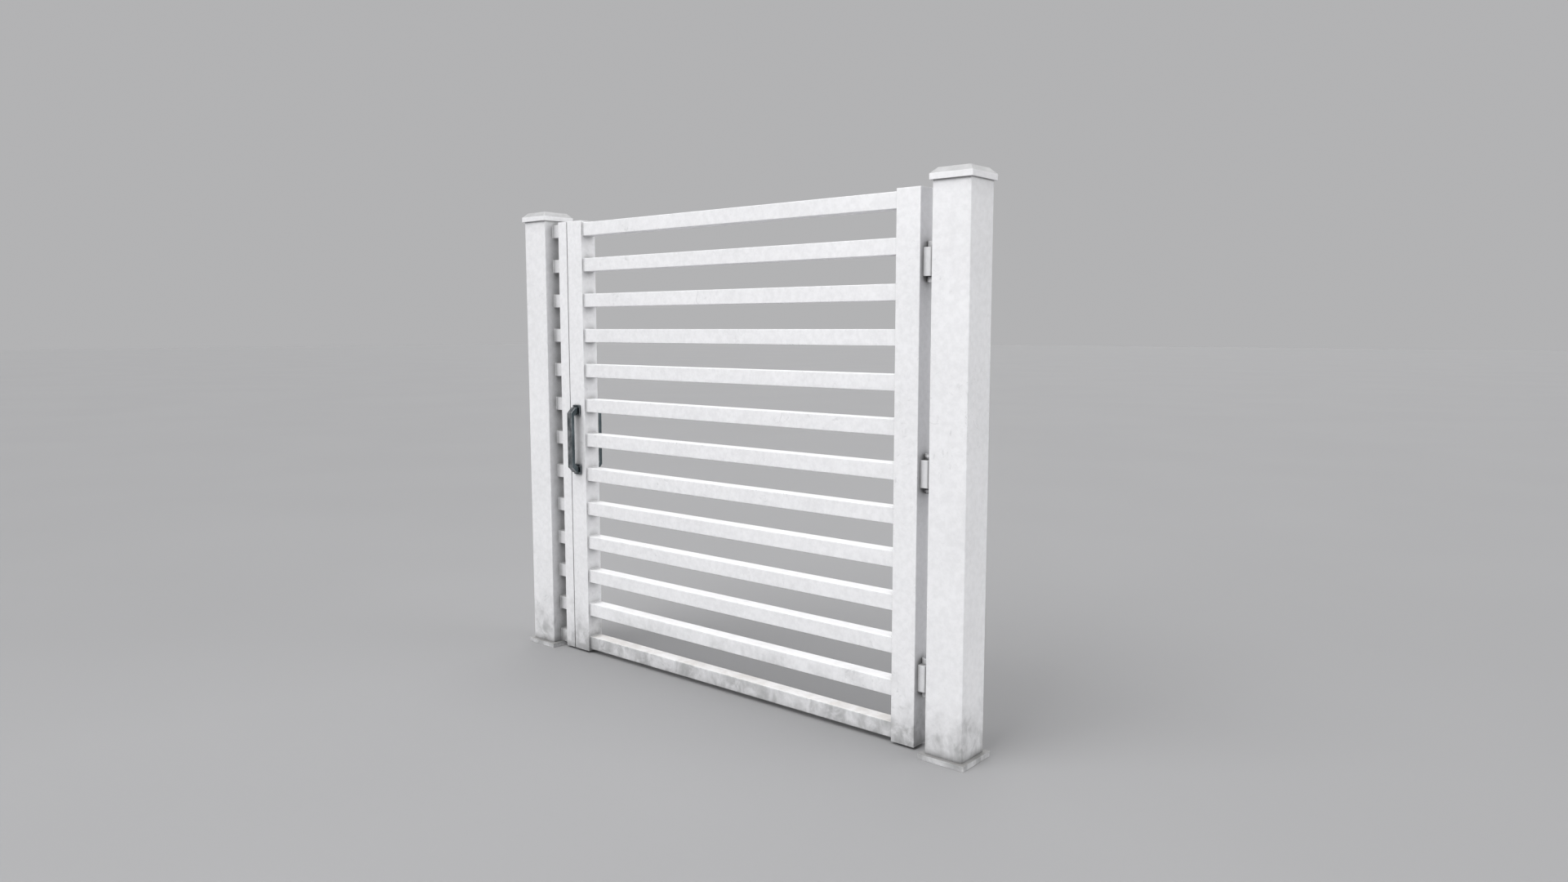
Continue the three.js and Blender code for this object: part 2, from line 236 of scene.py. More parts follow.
class Graph:
    """Builds one material's nodes. A value may be a number, a colour or another node's output."""

    def __init__(self, name):
        self.material = bpy.data.materials.new(name)
        self.material.use_nodes = True
        self.nodes = self.material.node_tree.nodes
        self.links = self.material.node_tree.links
        self.shader = self.nodes["Principled BSDF"]
        self.place = self.add("ShaderNodeTexCoord", {}, "Object")

    def add(self, kind, inputs, output=0, **settings):
        """Adds a node, fills its inputs and gives one of its outputs."""
        node = self.nodes.new(kind)
        for key, value in settings.items():
            setattr(node, key, value)
        for key, value in inputs.items():
            self.put(node.inputs[key], value)
        return node.outputs[output]

    def put(self, socket, value):
        """Links another node's output to a socket, or sets the socket's own value."""
        if isinstance(value, bpy.types.NodeSocket):
            self.links.new(value, socket)
        elif isinstance(value, tuple) and len(value) == 3 and socket.type == "RGBA":
            socket.default_value = (*value, 1.0)
        else:
            socket.default_value = value

    def set(self, **values):
        """Fills inputs of the shader, named with _ for each space."""
        for key, value in values.items():
            self.put(self.shader.inputs[key.replace("_", " ")], value)

    def math(self, operation, a, b=0.0):
        return self.add("ShaderNodeMath", {0: a, 1: b}, operation=operation)

    def times(self, a, b):
        return self.math("MULTIPLY", a, b)

    def plus(self, a, b):
        return self.math("ADD", a, b)

    def stretched(self, scale):
        """The place on the object, multiplied by (x, y, z)."""
        return self.add("ShaderNodeMapping", {"Vector": self.place, "Scale": scale})

    def noise(self, scale, detail=3.0, rough=0.5, distortion=0.0, where=None):
        """Cloudy noise. Scale is about how many blotches there are in a metre."""
        return self.add("ShaderNodeTexNoise", {
            "Vector": where or self.place,
            "Scale": scale,
            "Detail": detail,
            "Roughness": rough,
            "Distortion": distortion,
        }, "Fac")

    def spread(self, value, low, high, to_low=0.0, to_high=1.0):
        """Turns low..high smoothly into to_low..to_high and holds the ends."""
        return self.add("ShaderNodeMapRange", {
            "Value": value,
            "From Min": low,
            "From Max": high,
            "To Min": to_low,
            "To Max": to_high,
        }, interpolation_type="SMOOTHSTEP")

    def blend(self, amount, a, b):
        """Goes from colour a to colour b as amount goes from 0 to 1."""
        return self.add("ShaderNodeMix", {0: amount, 6: a, 7: b}, 2, data_type="RGBA")

    def shade(self, colour, factor):
        """Multiplies a colour by a number."""
        grey = self.add("ShaderNodeCombineColor", {0: factor, 1: factor, 2: factor})
        return self.add("ShaderNodeMix", {0: 1.0, 6: colour, 7: grey}, 2,
                        data_type="RGBA", blend_type="MULTIPLY")

    def bump(self, height, strength, distance, normal=None):
        """A normal bent by a height, on top of another bump where one is given."""
        inputs = {"Height": height, "Strength": strength, "Distance": distance}
        if normal is not None:
            inputs["Normal"] = normal
        return self.add("ShaderNodeBump", inputs)

    def height_above_ground(self):
        return self.add("ShaderNodeSeparateXYZ", {0: self.place}, "Z")

    def facing_up(self, low=0.6, high=0.95):
        """Goes from 0 to 1 as the upward part of the surface's normal goes from low to high."""
        normal = self.add("ShaderNodeNewGeometry", {}, "Normal")
        up = self.add("ShaderNodeSeparateXYZ", {0: normal}, "Z")
        return self.spread(up, low, high)

    def wear(self):
        """The meshes' own mark: 1 on rounded edges, 0 where the wear beside them is over."""
        return self.add("ShaderNodeAttribute", {}, "Fac", attribute_name="wear")


def painted_corner_shade(graph):
    """How much painted shade goes where surfaces meet at an inner corner or stand close together, from
    an ambient occlusion node.
    """
    openness = graph.add("ShaderNodeAmbientOcclusion", {"Distance": CORNER_SHADE_REACH}, "AO",
                         samples=8)
    off_the_ground = graph.spread(graph.height_above_ground(), 0.004, 0.014, 0.3, 1.0)
    return graph.times(graph.spread(openness, 0.92, 0.40), off_the_ground)


def painted_foot_shade(graph):
    """How much painted shade goes on top of the foot plates and where the posts stand on them."""
    plate_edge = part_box("hinge_post_base")[0][0]
    plate_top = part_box("hinge_post")[0][2]
    across = graph.add("ShaderNodeSeparateXYZ", {0: graph.place}, "X")
    beside_leaf = graph.spread(graph.math("ABSOLUTE", across), plate_edge - 0.010, plate_edge)
    level = graph.height_above_ground()
    at_plate_top = graph.spread(level, plate_top + 0.0030, plate_top + 0.0005)
    on_plate = graph.times(at_plate_top, graph.facing_up())
    up_the_post = graph.spread(level, plate_top + 0.024, plate_top)
    above_plate = graph.spread(level, plate_top - 0.0008, plate_top)
    at_post = graph.times(up_the_post, above_plate)
    both = graph.plus(graph.times(on_plate, 0.42), graph.times(at_post, 0.44))
    return graph.times(both, beside_leaf)


def scuff_marks(graph):
    """Thin wispy marks in a few broad patches."""
    wisps = graph.spread(graph.noise(24.0, 6.0, 0.62, 2.4), 0.57, 0.74)
    patches = graph.spread(graph.noise(3.4, 2.0, 0.5), 0.46, 0.62)
    return graph.times(wisps, patches)


def ground_nearness(graph):
    """Goes from 0 to 1 down to the ground, along a ragged line."""
    ragged = graph.spread(graph.noise(11.0, 4.0, 0.6), 0.25, 0.75, -0.045, 0.045)
    height = graph.plus(graph.height_above_ground(), ragged)
    return graph.spread(height, 0.180, 0.018)


def ground_grime(graph, near_ground, clouds):
    """Cloudy, streaky dirt near the ground, with less of it on tops, where rain washes it off."""
    streaks = graph.spread(graph.noise(26.0, 5.0, 0.6, 0.5), 0.44, 0.66, 1.0, 0.45)
    amount = graph.times(near_ground, graph.spread(clouds, 0.34, 0.66, 0.42, 1.0))
    amount = graph.times(amount, streaks)
    rained_clean = graph.spread(graph.facing_up(), 0.0, 1.0, 1.0, 0.45)
    return graph.times(amount, rained_clean)


def edge_chips(graph):
    """Small chips in the coat, in some stretches of the worn edges."""
    flecks = graph.spread(graph.noise(210.0, 3.0, 0.6), 0.60, 0.66)
    rubbed = graph.spread(graph.noise(9.0, 3.0, 0.6), 0.52, 0.66)
    return graph.times(graph.times(graph.wear(), flecks), rubbed)


def powder_coat(name, white, roughness, grime, dust, painted_slope_shade):
    """Satin powder coat with orange peel, faint mottling, scuffs and chipped edges, and painted shade in
    its inner corners and narrow gaps. Grime says whether it is dirty near the ground and gets painted
    shade at the posts' feet. Dust is how strong the dust on its tops is, and the last argument how
    strong the painted shade that darkens its slopes and tops."""
    graph = Graph(name)
    mottle = graph.noise(70.0, 5.0, 0.6)
    broad = graph.noise(5.5, 3.0, 0.5)
    tone = graph.plus(graph.spread(mottle, 0.3, 0.7, -0.048, 0.034),
                      graph.spread(broad, 0.3, 0.7, 0.976, 1.014))
    colour = graph.shade(white, tone)
    scuffs = scuff_marks(graph)
    colour = graph.blend(graph.times(scuffs, 0.38), colour, SCUFF_GREY)

    clouds = graph.noise(21.0, 6.0, 0.56, 0.5, graph.stretched((1.0, 1.0, 0.62)))
    settled = graph.times(graph.facing_up(), graph.spread(clouds, 0.3, 0.75, 0.25, 1.0))
    if grime:
        near_ground = ground_nearness(graph)
        grime_amount = ground_grime(graph, near_ground, clouds)
        colour = graph.blend(graph.times(grime_amount, 0.95), colour, GRIME_AND_SHADE_GREY)
        settled = graph.times(settled, graph.plus(near_ground, 0.12))
    colour = graph.blend(graph.times(settled, dust), colour, DUST_TAN)
    if grime:
        # Painted shade: dark grey on the foot plates' tops and at the posts' feet
        foot_shading = graph.times(painted_foot_shade(graph), graph.spread(clouds, 0.3, 0.7, 0.85, 1.0))
        colour = graph.blend(foot_shading, colour, PAINTED_SHADE_GREY)
    # Painted shade: darker grey on the slopes and tops
    if painted_slope_shade:
        sloping = graph.times(graph.facing_up(0.25, 0.6), graph.spread(clouds, 0.3, 0.7, 0.8, 1.0))
        colour = graph.blend(graph.times(sloping, painted_slope_shade), colour, GRIME_AND_SHADE_GREY)
    # Painted shade: darker grey in inner corners and narrow gaps
    corner_shading = graph.times(painted_corner_shade(graph), graph.spread(clouds, 0.3, 0.7, 0.55, 0.75))
    colour = graph.blend(corner_shading, colour, PAINTED_SHADE_GREY)
    chips = edge_chips(graph)
    colour = graph.blend(graph.times(chips, 0.75), colour, BARE_METAL)

    gloss = graph.plus(graph.spread(mottle, 0.25, 0.75, -0.04, 0.05), roughness)
    gloss = graph.plus(gloss, graph.times(scuffs, 0.12))
    gloss = graph.plus(gloss, graph.times(settled, 0.15))
    if grime:
        gloss = graph.plus(gloss, graph.times(grime_amount, 0.28))

    peel = graph.bump(graph.noise(620.0, 2.0, 0.45), 0.22, 0.0002)
    uneven = graph.bump(mottle, 0.10, 0.0006, peel)
    chipped = graph.bump(chips, 0.5, -0.0003, uneven)
    graph.set(Base_Color=colour, Roughness=gloss, Normal=chipped, Specular_IOR_Level=0.45)
    return graph.material


def brushed_steel(name, tint, roughness, brush_scale):
    """Satin steel with smudges and brighter rubbed edges. It is brushed along the direction where
    brush_scale is small."""
    graph = Graph(name)
    lines = graph.noise(1.0, 5.0, 0.65, 0.0, graph.stretched(brush_scale))
    smudges = graph.noise(26.0, 3.0, 0.5, 0.2)
    tone = graph.plus(graph.spread(lines, 0.25, 0.75, 0.93, 1.05),
                      graph.spread(smudges, 0.3, 0.7, -0.03, 0.03))
    colour = graph.shade(tint, tone)
    worn = graph.spread(graph.wear(), 0.55, 1.0)
    rubbed = graph.times(worn, graph.spread(smudges, 0.35, 0.65, 0.1, 0.6))
    colour = graph.blend(rubbed, colour, ZINC_STEEL)
    gloss = graph.plus(graph.spread(lines, 0.2, 0.8, -0.05, 0.07), roughness)
    gloss = graph.plus(gloss, graph.spread(smudges, 0.5, 0.75, 0.0, 0.06))
    graph.set(
        Base_Color=colour,
        Metallic=1.0,
        Roughness=gloss,
        Normal=graph.bump(lines, 0.06, 0.0001),
    )
    return graph.material


def moulded_plastic(name, tint, roughness):
    """Matte moulded plastic with a fine grain and a little dirt in patches."""
    graph = Graph(name)
    grain = graph.noise(1300.0, 2.0, 0.5)
    patches = graph.noise(45.0, 5.0, 0.6, 0.8)
    colour = graph.shade(tint, graph.spread(patches, 0.3, 0.7, 1.03, 0.90))
    gloss = graph.plus(graph.spread(patches, 0.3, 0.7, -0.05, 0.08), roughness)
    graph.set(Base_Color=colour, Roughness=gloss, Normal=graph.bump(grain, 0.3, 0.00015))
    return graph.material


def floor_material():
    """Plain matte grey with hardly any variation."""
    graph = Graph("studio_floor")
    tone = graph.spread(graph.noise(0.7, 2.0), 0.3, 0.7, 0.99, 1.01)
    graph.set(Base_Color=graph.shade(FLOOR_GREY, tone), Roughness=0.85, Specular_IOR_Level=0.2)
    return graph.material


def make_floor():
    """A wide flat floor, which isn't part of the gate."""
    bm = bmesh.new()
    bmesh.ops.create_grid(bm, x_segments=1, y_segments=1, size=FLOOR_HALF_SIZE)
    mesh = bpy.data.meshes.new("floor")
    bm.to_mesh(mesh)
    bm.free()
    mesh.materials.append(floor_material())
    floor = bpy.data.objects.new("floor", mesh)
    bpy.context.collection.objects.link(floor)


# ---------------------------------------------------------------- mesh building

def turned(a, b, along, axis):
    """The point whose last coordinate runs along the axis, with no mirroring."""
    if axis == "x":
        return (along, a, b)
    if axis == "y":
        return (b, along, a)
    return (a, b, along)


def rounded_outline(half_a, half_b, radius, steps=CORNER_STEPS):
    """A rectangle with round corners, anticlockwise about (0, 0), as (a, b, wear). Each flat has a
    point near each of its ends where the wear is over."""
    points = []
    shoulder = min(WEAR_SHOULDER, (half_a - radius) * 0.6, (half_b - radius) * 0.6)
    for quarter in range(4):
        start = quarter * math.pi / 2
        centre_a = (half_a - radius) * (1 if quarter in (0, 3) else -1)
        centre_b = (half_b - radius) * (1 if quarter in (0, 1) else -1)
        first = (math.cos(start), math.sin(start))
        last = (-math.sin(start), math.cos(start))
        points.append((centre_a + first[0] * radius - last[0] * shoulder,
                       centre_b + first[1] * radius - last[1] * shoulder, 0.0))
        for step in range(steps + 1):
            angle = start + step / steps * math.pi / 2
            points.append((centre_a + math.cos(angle) * radius,
                           centre_b + math.sin(angle) * radius, 1.0))
        points.append((centre_a + last[0] * radius - first[0] * shoulder,
                       centre_b + last[1] * radius - first[1] * shoulder, 0.0))
    return points


def loft(bm, rings, joined_ends):
    """Skins a run of rings of (x, y, z, wear). The run either closes on itself or is capped."""
    wear = bm.verts.layers.float.get("wear") or bm.verts.layers.float.new("wear")
    made = []
    for ring in rings:
        row = []
        for x, y, z, amount in ring:
            vert = bm.verts.new((x, y, z))
            vert[wear] = amount
            row.append(vert)
        made.append(row)
    pairs = list(zip(made, made[1:]))
    if joined_ends:
        pairs.append((made[-1], made[0]))
    for lower, upper in pairs:
        for i in range(len(lower)):
            j = (i + 1) % len(lower)
            bm.faces.new((lower[i], lower[j], upper[j], upper[i]))
    if not joined_ends:
        bm.faces.new(list(reversed(made[0])))
        bm.faces.new(made[-1])


def finish_mesh(name, bm, material, body, replaced):
    """Makes a shaded piece out of bm, on its body and the CAD nodes it stands for."""
    bmesh.ops.recalc_face_normals(bm, faces=bm.faces)
    mesh = bpy.data.meshes.new(name)
    bm.to_mesh(mesh)
    bm.free()
    mesh.shade_smooth()
    mesh.materials.append(material)
    piece = bpy.data.objects.new(name, mesh)
    bpy.context.collection.objects.link(piece)
    shading = piece.modifiers.new("flat faces stay flat", "WEIGHTED_NORMAL")
    shading.weight = 100
    shading.keep_sharp = False
    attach(piece, body)
    if replaced:
        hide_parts(*replaced)


def split(box, axis):
    """A box's centre and half sizes across the axis, and its two ends along it."""
    low, high = box
    order = {"x": (1, 2, 0), "y": (2, 0, 1), "z": (0, 1, 2)}[axis]
    centre = [(low[i] + high[i]) / 2 for i in order[:2]]
    half = [(high[i] - low[i]) / 2 for i in order[:2]]
    return centre, half, low[order[2]], high[order[2]]


def stack_rings(box, axis, levels):
    """Rings round the axis of a box, one for each level of (inset, place along, radius, wear)."""
    centre, half, _, _ = split(box, axis)
    rings = []
    for inset, along, radius, level_wear in levels:
        outline = rounded_outline(half[0] - inset, half[1] - inset, radius)
        rings.append([
            (*turned(centre[0] + a, centre[1] + b, along, axis), max(corner_wear, level_wear))
            for a, b, corner_wear in outline
        ])
    return rings


def tube(bm, box, axis, wall, radius):
    """A rectangular tube with round corners, open at both ends, its rims slightly broken."""
    _, _, start, end = split(box, axis)
    inner = max(radius - wall, LEAST_INNER_CORNER)
    rim = RIM_BEVEL
    near = WEAR_SHOULDER + rim
    loft(bm, stack_rings(box, axis, [
        (0, start + near, radius, 0),
        (0, end - near, radius, 0),
        (0, end - rim, radius, 1),
        (rim, end, radius, 1),
        (wall - rim, end, inner, 1),
        (wall, end - rim, inner, 0),
        (wall, start + rim, inner, 0),
        (wall - rim, start, inner, 1),
        (rim, start, radius, 1),
        (0, start + rim, radius, 1),
    ]), True)


def round_edges(bm, width, segments=2, least_angle=30.0):
    """Rounds every edge sharper than least_angle and marks the new faces as worn."""
    wear = bm.verts.layers.float.get("wear") or bm.verts.layers.float.new("wear")
    bm.normal_update()
    sharp = [
        edge for edge in bm.edges
        if edge.is_manifold and edge.calc_face_angle(0.0) > math.radians(least_angle)
    ]
    made = bmesh.ops.bevel(bm, geom=sharp, offset=width, offset_type="OFFSET", segments=segments,
                           profile=0.5, affect="EDGES", clamp_overlap=True)
    for face in made["faces"]:
        for vert in face.verts:
            vert[wear] = 1.0
    bmesh.ops.dissolve_degenerate(bm, dist=MERGE_DISTANCE, edges=bm.edges)


def inset_faces(bm, faces, margin):
    """Gives each face an inner ring, where the wear along its edges is over."""
    wear = bm.verts.layers.float["wear"]
    bmesh.ops.inset_individual(bm, faces=faces, thickness=margin, use_even_offset=True)
    for face in faces:
        for vert in face.verts:
            vert[wear] = 0.0


def extrude_outline(bm, outline, start, end, place):
    """A solid with the outline as its section. Place turns (a, b, along) into a point."""
    lower = [bm.verts.new(place(a, b, start)) for a, b in outline]
    upper = [bm.verts.new(place(a, b, end)) for a, b in outline]
    for i in range(len(outline)):
        j = (i + 1) % len(outline)
        bm.faces.new((lower[i], lower[j], upper[j], upper[i]))
    bm.faces.new(list(reversed(lower)))
    bm.faces.new(upper)


def turned_rings(centre, axis, levels, sign=1):
    """Rings round an axis from (radius, place along, six_sided, wear). Sign -1 points it backwards."""
    rings = []
    for radius, along, six_sided, amount in levels:
        ring = []
        for i in range(ROUND_POINTS):
            angle = 2 * math.pi * i / ROUND_POINTS
            reach = radius
            if six_sided:
                reach = radius / math.cos((angle + math.pi / 6) % (math.pi / 3) - math.pi / 6)
            offset = turned(math.cos(angle) * reach, math.sin(angle) * reach, sign * along, axis)
            ring.append((centre[0] + offset[0], centre[1] + offset[1], centre[2] + offset[2], amount))
        rings.append(ring)
    return rings


def lathe(bm, centre, axis, levels, sign=1):
    """A solid turned about an axis, with flat ends."""
    loft(bm, turned_rings(centre, axis, levels, sign), False)


def boolean(target, tool, operation):
    """Cuts tool from target or joins it on, as mesh data, and returns the new mesh."""
    objects = []
    for mesh in (target, tool):
        holder = bpy.data.objects.new("scrap", mesh)
        bpy.context.collection.objects.link(holder)
        objects.append(holder)
    modifier = objects[0].modifiers.new("cut", "BOOLEAN")
    modifier.operation = operation
    modifier.object = objects[1]
    modifier.solver = "EXACT"
    graph = bpy.context.evaluated_depsgraph_get()
    made = bpy.data.meshes.new_from_object(objects[0].evaluated_get(graph))
    for holder in objects:
        mesh = holder.data
        bpy.data.objects.remove(holder)
        bpy.data.meshes.remove(mesh)
    return made


def as_mesh(bm):
    """Turns bm into a mesh and frees it."""
    bmesh.ops.recalc_face_normals(bm, faces=bm.faces)
    mesh = bpy.data.meshes.new("scrap")
    bm.to_mesh(mesh)
    bm.free()
    return mesh


# ---------------------------------------------------------------- posts

def add_tube(node, body, axis, wall, radius):
    """A tube in place of a CAD node."""
    bm = bmesh.new()
    tube(bm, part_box(node), axis, wall, radius)
    finish_mesh(f"{node}_tube", bm, white_coat, body, [node])


def drill_anchor_holes(bm, centre, bottom, top):
    """Cuts the four anchor holes through a foot plate and returns what is left."""
    drills = bmesh.new()
    for side in (-1, 1):
        for depth in (-1, 1):
            place = (centre.x + side * ANCHOR_SPACING / 2, centre.y + depth * ANCHOR_SPACING / 2, 0)
            lathe(drills, place, "z", [
                (ANCHOR_HOLE_RADIUS, bottom - DRILL_PAST, False, 0),
                (ANCHOR_HOLE_RADIUS, top + DRILL_PAST, False, 0),
            ])
    cut = boolean(as_mesh(bm), as_mesh(drills), "DIFFERENCE")
    drilled = bmesh.new()
    drilled.from_mesh(cut)
    bpy.data.meshes.remove(cut)
    return drilled


def add_foot(side):
    """Foot plate with four anchor holes and a hollow spigot up inside the post."""
    node = f"{side}_post_base"
    low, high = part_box(node)
    plate_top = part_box(f"{side}_post")[0].z
    spigot = FOOT_OVERHANG + POST_WALL + FIT_GAP
    bore = spigot + SPIGOT_WALL
    middle = (low.z + plate_top) / 2
    bm = bmesh.new()
    loft(bm, stack_rings((low, high), "z", [
        (FOOT_FACE_MARGIN, low.z, FOOT_CORNER, 0),
        (0, low.z, FOOT_CORNER, 0),
        (0, middle, FOOT_CORNER, 0),
        (0, plate_top, FOOT_CORNER, 0),
        (FOOT_FACE_MARGIN, plate_top, FOOT_CORNER, 0),
        (spigot, plate_top, SPIGOT_CORNER, 0),
        (spigot, high.z, SPIGOT_CORNER, 0),
        (bore, high.z, INNER_CORNER, 0),
        (bore, plate_top, INNER_CORNER, 0),
    ]), False)
    bm = drill_anchor_holes(bm, (low + high) / 2, low.z, plate_top)
    round_edges(bm, FOOT_EDGE)
    finish_mesh(f"{side}_foot_plate", bm, white_coat, POSTS, [node])


def add_cap(side):
    """Cap with an upright rim, a 45 degree slope and a flat top, hollow over its skirt."""
    node = f"{side}_post_cap"
    low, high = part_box(node)
    rim_bottom = low.z + CAP_SKIRT_DEPTH
    rim_top = rim_bottom + CAP_RIM_HEIGHT
    skirt = CAP_OVERHANG + POST_WALL + FIT_GAP
    dome = CAP_SLOPE + CAP_WALL
    dome_top = rim_top + CAP_SLOPE - 2 * CAP_WALL
    slope_near = 0.3 * CAP_SLOPE
    bm = bmesh.new()
    loft(bm, stack_rings((low, high), "z", [
        (dome, dome_top, INNER_CORNER, 0),
        (dome, rim_bottom, INNER_CORNER, 0),
        (skirt + CAP_WALL, rim_bottom, INNER_CORNER, 0),
        (skirt + CAP_WALL, low.z, INNER_CORNER, 0),
        (skirt, low.z, INNER_CORNER, 0),
        (skirt, rim_bottom, INNER_CORNER, 0),
        (0, rim_bottom, CAP_CORNER, 0),
        (0, (rim_bottom + rim_top) / 2, CAP_CORNER, 0),
        (0, rim_top, CAP_CORNER, 0),
        (slope_near, rim_top + slope_near, CAP_CORNER, 0),
        (CAP_SLOPE - slope_near, high.z - slope_near, CAP_CORNER, 0),
        (CAP_SLOPE, high.z, CAP_CORNER, 0),
        (CAP_SLOPE + WEAR_SHOULDER, high.z, CAP_CORNER, 0),
    ]), False)
    round_edges(bm, CAP_EDGE, 3)
    finish_mesh(f"{side}_cap_shell", bm, cap_coat, POSTS, [node])


# ---------------------------------------------------------------- plugs

def add_plug(node, body, top):
    """A plug with a shallow dish in its face and a hollow skirt inside the tube."""
    low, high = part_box(node)
    face, tip, inward = (high.z, low.z, -1) if top else (low.z, high.z, 1)
    bm = bmesh.new()
    loft(bm, stack_rings((low, high), "z", [
        (PLUG_BORDER + PLUG_DISH, face + inward * PLUG_DISH, PLUG_DISH_CORNER, 0),
        (PLUG_BORDER, face, PLUG_BORDER_CORNER, 0),
        (0, face, PLUG_CORNER, 0),
        (0, tip, PLUG_CORNER, 0),
        (PLUG_SKIRT_WALL, tip, INNER_CORNER, 0),
        (PLUG_SKIRT_WALL, face + inward * PLUG_FACE, INNER_CORNER, 0),
    ]), False)
    round_edges(bm, PLUG_EDGE)
    finish_mesh(f"{node}_moulding", bm, plug_plastic, body, [node])


# ---------------------------------------------------------------- welds

def weld_outline(half_a, half_b, radius):
    """Points close together round a rounded rectangle, as (a, b, out_a, out_b, distance)."""
    corners = []
    for quarter in range(4):
        start = quarter * math.pi / 2
        centre_a = (half_a - radius) * (1 if quarter in (0, 3) else -1)
        centre_b = (half_b - radius) * (1 if quarter in (0, 1) else -1)
        for step in range(CORNER_STEPS + 1):
            angle = start + step / CORNER_STEPS * math.pi / 2
            out = (math.cos(angle), math.sin(angle))
            corners.append((centre_a + out[0] * radius, centre_b + out[1] * radius, *out))
    points = []
    distance = 0.0
    for here, there in zip(corners, corners[1:] + corners[:1]):
        length = math.hypot(there[0] - here[0], there[1] - here[1])
        count = max(1, round(length / WELD_STEP))
        for i in range(count):
            share = i / count
            points.append(tuple(h + (t - h) * share for h, t in zip(here, there))
                          + (distance + length * share,))
        distance += length
    return points, distance


def add_weld(bm, box, radius, face, away):
    """A rippled fillet where a tube along X meets a face. Away is the side that the tube is on."""
    centre, half, _, _ = split(box, "x")
    points, total = weld_outline(half[0], half[1], radius)
    turns = round(total / WELD_RIPPLE)
    rings = []
    for a, b, out_a, out_b, distance in points:
        phase = 2 * math.pi * turns * distance / total
        leg = WELD_LEG * (1 + 0.11 * math.sin(phase) + 0.07 * math.sin(phase * 0.29 + 1.3))
        section = [
            (-WELD_SINK, -WELD_SINK),
            (leg, -WELD_SINK),
            (leg, 0.15 * leg),
            (0.50 * leg, 0.50 * leg),
            (0.15 * leg, leg),
            (-WELD_SINK, leg),
        ]
        rings.append([
            (*turned(centre[0] + a + out_a * out, centre[1] + b + out_b * out,
                     face + away * up, "x"), 0.0)
            for out, up in section
        ])
    loft(bm, rings, True)


def add_welds(name, prefix, body, radius):
    """Welds round both ends of the thirteen tubes whose names start with the prefix."""
    bm = bmesh.new()
    for number in RAIL_NUMBERS:
        low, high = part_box(f"{prefix}_{number}")
        add_weld(bm, (low, high), radius, low.x, 1)
        add_weld(bm, (low, high), radius, high.x, -1)
    finish_mesh(name, bm, white_coat, body, [])


# ---------------------------------------------------------------- hinges

def arc(centre_a, centre_b, radius, start, end, steps):
    """Points on an arc from one angle in degrees to another."""
    points = []
    for step in range(steps + 1):
        angle = math.radians(start + (end - start) * step / steps)
        points.append((centre_a + math.cos(angle) * radius, centre_b + math.sin(angle) * radius))
    return points


def add_hinge_block(number):
    """The leaf's half of a hinge: flat on the stile and in front, round about the pin behind."""
    node = f"hinge_{number}_block"
    low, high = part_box(node)
    pin_low, pin_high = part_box(f"hinge_{number}_pin")
    pin = (pin_low + pin_high) / 2
    corner = (high.x - BLOCK_CORNER, low.y + BLOCK_CORNER)
    outline = [(low.x, low.y)]
    outline += arc(*corner, BLOCK_CORNER, -90, 0, 8)
    outline += arc(pin.x, pin.y, high.x - pin.x, 0, 90, 12)
    outline += [(low.x, high.y)]
    bm = bmesh.new()
    extrude_outline(bm, outline, low.z, high.z, lambda a, b, along: (a, b, along))
    round_edges(bm, BLOCK_EDGE, 3)
    ends = [face for face in bm.faces if abs(face.normal.z) > 0.99 and face.calc_area() > 1e-4]
    inset_faces(bm, ends, FLAT_MARGIN)
    finish_mesh(f"{node}_body", bm, hinge_coat, LEAF, [node])


def bracket_arm(pin, back, low_z, high_z):
    """An arm with a round end about the pin, as far back as back."""
    bm = bmesh.new()
    outline = arc(pin.x, pin.y, ARM_RADIUS, 90, 270, 24)
    outline += [(back, pin.y - ARM_RADIUS), (back, pin.y + ARM_RADIUS)]
    extrude_outline(bm, outline, low_z, high_z, lambda a, b, along: (a, b, along))
    return as_mesh(bm)


def add_hinge_bracket(number):
    """The post's half: a plate with rounded corners and two round-ended arms, drilled."""
    node = f"hinge_{number}_bracket"
    low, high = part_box(node)
    pin_low, pin_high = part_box(f"hinge_{number}_pin")
    pin = (pin_low + pin_high) / 2
    plate_front = high.x - BRACKET_PLATE
    plate_low = Vector((plate_front, low.y, low.z))
    _, half, _, _ = split((plate_low, high), "x")
    bm = bmesh.new()
    corner_outline = [
        (a + pin.y, b + pin.z)
        for a, b, _ in rounded_outline(half[0], half[1], BRACKET_PLATE_CORNER)
    ]
    extrude_outline(bm, corner_outline, plate_front, high.x, lambda a, b, along: (along, a, b))
    body = as_mesh(bm)
    for arm_low in (low.z, high.z - ARM_THICKNESS):
        arm = bracket_arm(pin, plate_front + ARM_SINK, arm_low, arm_low + ARM_THICKNESS)
        body = boolean(body, arm, "UNION")
    drill = bmesh.new()
    head_bottom = high.z - PIN_HEAD_HEIGHT - FIT_GAP
    lathe(drill, (pin.x, pin.y, 0), "z", [
        (PIN_RADIUS + FIT_GAP, low.z - DRILL_PAST, False, 0),
        (PIN_RADIUS + FIT_GAP, head_bottom, False, 0),
        (PIN_HEAD_RADIUS + FIT_GAP, head_bottom, False, 0),
        (PIN_HEAD_RADIUS + FIT_GAP, high.z + DRILL_PAST, False, 0),
    ])
    body = boolean(body, as_mesh(drill), "DIFFERENCE")
    bm = bmesh.new()
    bm.from_mesh(body)
    bpy.data.meshes.remove(body)
    bmesh.ops.remove_doubles(bm, verts=bm.verts, dist=MERGE_DISTANCE)
    bmesh.ops.dissolve_limit(bm, angle_limit=math.radians(1), verts=bm.verts, edges=bm.edges)
    round_edges(bm, BRACKET_EDGE)
    finish_mesh(f"{node}_body", bm, hinge_coat, POSTS, [node])
    add_bracket_screws(number, plate_front, pin)
    add_washers(number, pin)


